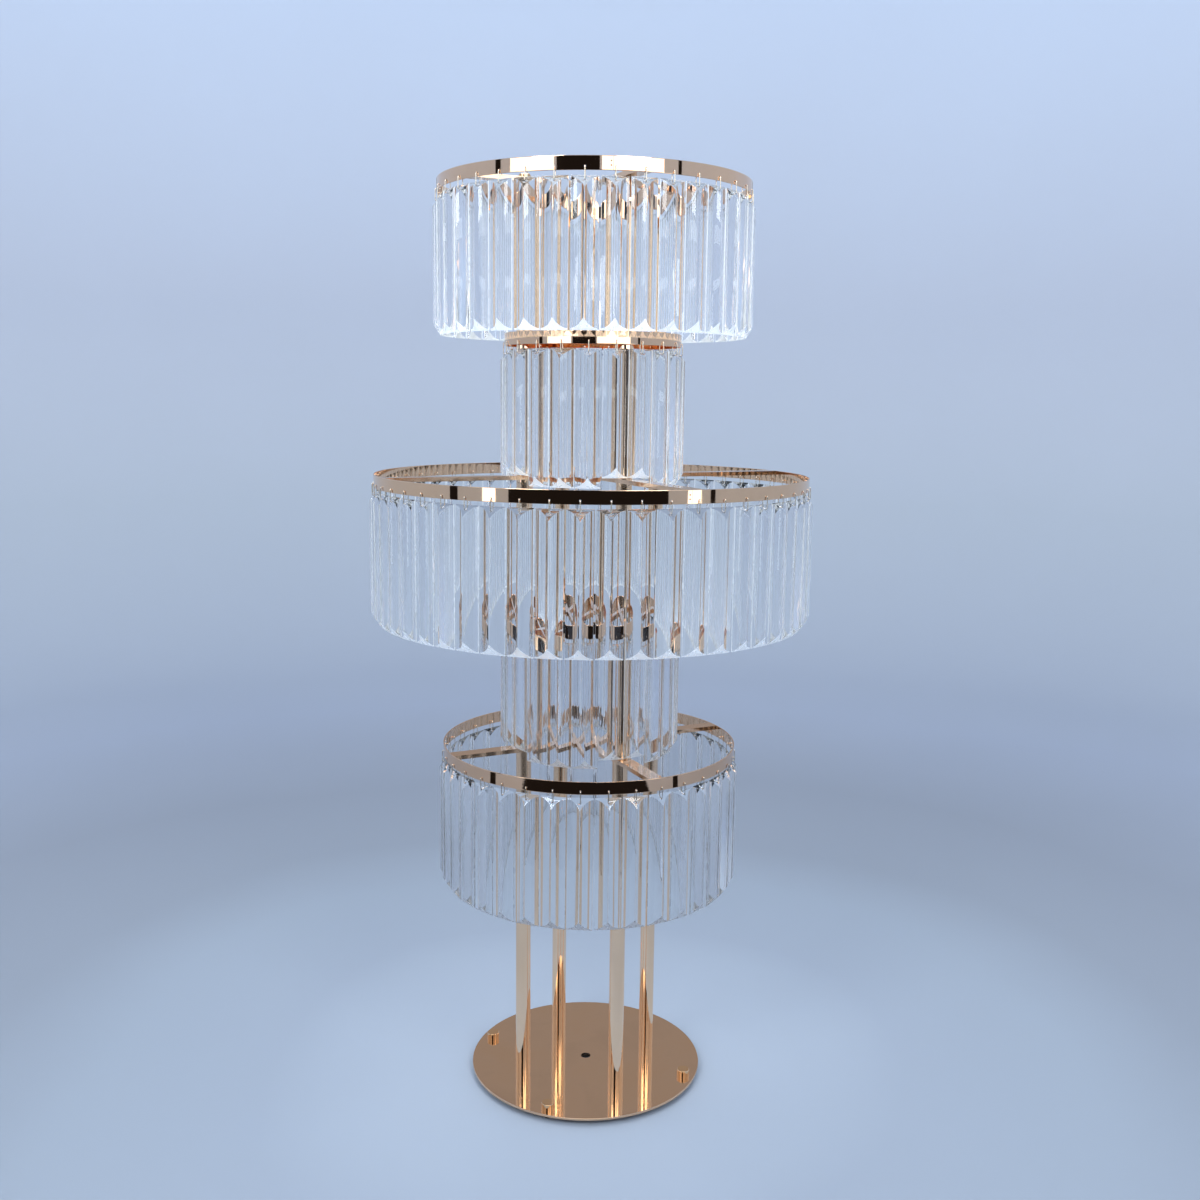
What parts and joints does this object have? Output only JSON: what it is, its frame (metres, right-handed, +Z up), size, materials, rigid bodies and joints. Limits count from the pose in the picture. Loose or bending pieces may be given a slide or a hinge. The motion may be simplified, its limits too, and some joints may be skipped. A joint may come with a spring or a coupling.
{
  "type": "tiered display stand",
  "caption": "Free-standing tiered centrepiece stand: round base on screw feet, round posts, flat cross bars, and gold bands hung with clear glass prisms on wire links.",
  "frame": {"origin": "on the floor under the centre of the base plate", "axes": "+Z up along the posts; the posts and cross bars lie along X and Y, and the feet on the diagonals"},
  "size_m": [0.5434, 0.5434, 1.1347],
  "materials": {
    "gold_plate": "mirror-polished champagne-gold plate on steel",
    "gold_tube": "mirror-polished champagne-gold plated tube",
    "gold_band": "mirror-polished champagne-gold plated strip",
    "gold_bar": "polished champagne-gold plated flat bar",
    "prism_glass": "clear polished glass",
    "link_wire": "bright pale-gold wire",
    "zinc_steel": "zinc-plated steel",
    "glide_rubber": "matt dark rubber"
  },
  "bodies": {
    "stand": {"base_plate": "gold_plate", "foot_barrels": "gold_plate", "base_bolts": "zinc_steel", "post_plugs": "zinc_steel", "post_studs": "zinc_steel", "top_screws": "gold_plate", "posts_bottom": "gold_tube", "posts_lower": "gold_tube", "posts_middle": "gold_tube", "posts_upper": "gold_tube", "posts_top": "gold_tube", "band_bottom": "gold_band", "band_lower": "gold_band", "band_middle": "gold_band", "band_upper": "gold_band", "band_top": "gold_band", "cross_bottom": "gold_bar", "cross_lower": "gold_bar", "cross_middle": "gold_bar", "cross_upper": "gold_bar", "cross_top": "gold_bar", "prisms_bottom": "prism_glass", "prisms_lower": "prism_glass", "prisms_middle": "prism_glass", "prisms_upper": "prism_glass", "prisms_top": "prism_glass", "links_bottom": "link_wire", "links_lower": "link_wire", "links_middle": "link_wire", "links_upper": "link_wire", "links_top": "link_wire"},
    "foot_pad_1": {"foot_pad_1": "glide_rubber"},
    "foot_screw_1": {"foot_screw_1": "gold_plate"},
    "foot_pad_2": {"foot_pad_2": "glide_rubber"},
    "foot_screw_2": {"foot_screw_2": "gold_plate"},
    "foot_pad_3": {"foot_pad_3": "glide_rubber"},
    "foot_screw_3": {"foot_screw_3": "gold_plate"},
    "foot_pad_4": {"foot_pad_4": "glide_rubber"},
    "foot_screw_4": {"foot_screw_4": "gold_plate"},
    "swing_bottom_1": {"swing_prism_bottom_1": "prism_glass", "swing_link_bottom_1": "link_wire"},
    "swing_bottom_2": {"swing_prism_bottom_2": "prism_glass", "swing_link_bottom_2": "link_wire"},
    "swing_lower_1": {"swing_prism_lower_1": "prism_glass", "swing_link_lower_1": "link_wire"},
    "swing_lower_2": {"swing_prism_lower_2": "prism_glass", "swing_link_lower_2": "link_wire"},
    "swing_middle_1": {"swing_prism_middle_1": "prism_glass", "swing_link_middle_1": "link_wire"},
    "swing_middle_2": {"swing_prism_middle_2": "prism_glass", "swing_link_middle_2": "link_wire"},
    "swing_upper_1": {"swing_prism_upper_1": "prism_glass", "swing_link_upper_1": "link_wire"},
    "swing_upper_2": {"swing_prism_upper_2": "prism_glass", "swing_link_upper_2": "link_wire"},
    "swing_top_1": {"swing_prism_top_1": "prism_glass", "swing_link_top_1": "link_wire"},
    "swing_top_2": {"swing_prism_top_2": "prism_glass", "swing_link_top_2": "link_wire"}
  },
  "joints": [
    {"name": "foot_1_travel", "type": "slide", "parent": "stand", "child": "foot_pad_1", "axis": [0, 0, -1], "range_m": [0, 0.003]},
    {"name": "foot_1_turn", "type": "hinge", "parent": "foot_pad_1", "child": "foot_screw_1", "pos_m": [0.09546, 0.09546, 0.005], "axis": [0, 0, -1], "range_deg": [0, 1080]},
    {"name": "foot_2_travel", "type": "slide", "parent": "stand", "child": "foot_pad_2", "axis": [0, 0, -1], "range_m": [0, 0.003]},
    {"name": "foot_2_turn", "type": "hinge", "parent": "foot_pad_2", "child": "foot_screw_2", "pos_m": [-0.09546, 0.09546, 0.005], "axis": [0, 0, -1], "range_deg": [0, 1080]},
    {"name": "foot_3_travel", "type": "slide", "parent": "stand", "child": "foot_pad_3", "axis": [0, 0, -1], "range_m": [0, 0.003]},
    {"name": "foot_3_turn", "type": "hinge", "parent": "foot_pad_3", "child": "foot_screw_3", "pos_m": [-0.09546, -0.09546, 0.005], "axis": [0, 0, -1], "range_deg": [0, 1080]},
    {"name": "foot_4_travel", "type": "slide", "parent": "stand", "child": "foot_pad_4", "axis": [0, 0, -1], "range_m": [0, 0.003]},
    {"name": "foot_4_turn", "type": "hinge", "parent": "foot_pad_4", "child": "foot_screw_4", "pos_m": [0.09546, -0.09546, 0.005], "axis": [0, 0, -1], "range_deg": [0, 1080]},
    {"name": "bottom_swing_1", "type": "hinge", "parent": "stand", "child": "swing_bottom_1", "pos_m": [-0.13649, -0.12377, 0.4365], "axis": [-0.6717, 0.7408, 0], "range_deg": [-12, 25]},
    {"name": "bottom_swing_2", "type": "hinge", "parent": "stand", "child": "swing_bottom_2", "pos_m": [0.13649, 0.12377, 0.4365], "axis": [0.6717, -0.7408, 0], "range_deg": [-12, 25]},
    {"name": "lower_swing_1", "type": "hinge", "parent": "stand", "child": "swing_lower_1", "pos_m": [-0.07514, -0.07582, 0.6075], "axis": [-0.7103, 0.7039, 0], "range_deg": [-12, 25]},
    {"name": "lower_swing_2", "type": "hinge", "parent": "stand", "child": "swing_lower_2", "pos_m": [0.08561, 0.06377, 0.6075], "axis": [0.5974, -0.8019, 0], "range_deg": [-12, 25]},
    {"name": "middle_swing_1", "type": "hinge", "parent": "stand", "child": "swing_middle_1", "pos_m": [-0.1983, -0.17692, 0.7745], "axis": [-0.6657, 0.7462, 0], "range_deg": [-12, 25]},
    {"name": "middle_swing_2", "type": "hinge", "parent": "stand", "child": "swing_middle_2", "pos_m": [0.1983, 0.17692, 0.7745], "axis": [0.6657, -0.7462, 0], "range_deg": [-12, 25]},
    {"name": "upper_swing_1", "type": "hinge", "parent": "stand", "child": "swing_upper_1", "pos_m": [-0.07514, -0.07582, 0.9435], "axis": [-0.7103, 0.7039, 0], "range_deg": [-12, 25]},
    {"name": "upper_swing_2", "type": "hinge", "parent": "stand", "child": "swing_upper_2", "pos_m": [0.08561, 0.06377, 0.9435], "axis": [0.5974, -0.8019, 0], "range_deg": [-12, 25]},
    {"name": "top_swing_1", "type": "hinge", "parent": "stand", "child": "swing_top_1", "pos_m": [-0.13922, -0.12448, 1.1195], "axis": [-0.6665, 0.7455, 0], "range_deg": [-12, 25]},
    {"name": "top_swing_2", "type": "hinge", "parent": "stand", "child": "swing_top_2", "pos_m": [0.13922, 0.12448, 1.1195], "axis": [0.6665, -0.7455, 0], "range_deg": [-12, 25]}
  ],
  "couplings": [
    {"joint": "foot_1_turn", "follows": "foot_1_travel", "rad_per_m": 6283.2},
    {"joint": "foot_2_turn", "follows": "foot_2_travel", "rad_per_m": 6283.2},
    {"joint": "foot_3_turn", "follows": "foot_3_travel", "rad_per_m": 6283.2},
    {"joint": "foot_4_turn", "follows": "foot_4_travel", "rad_per_m": 6283.2}
  ]
}
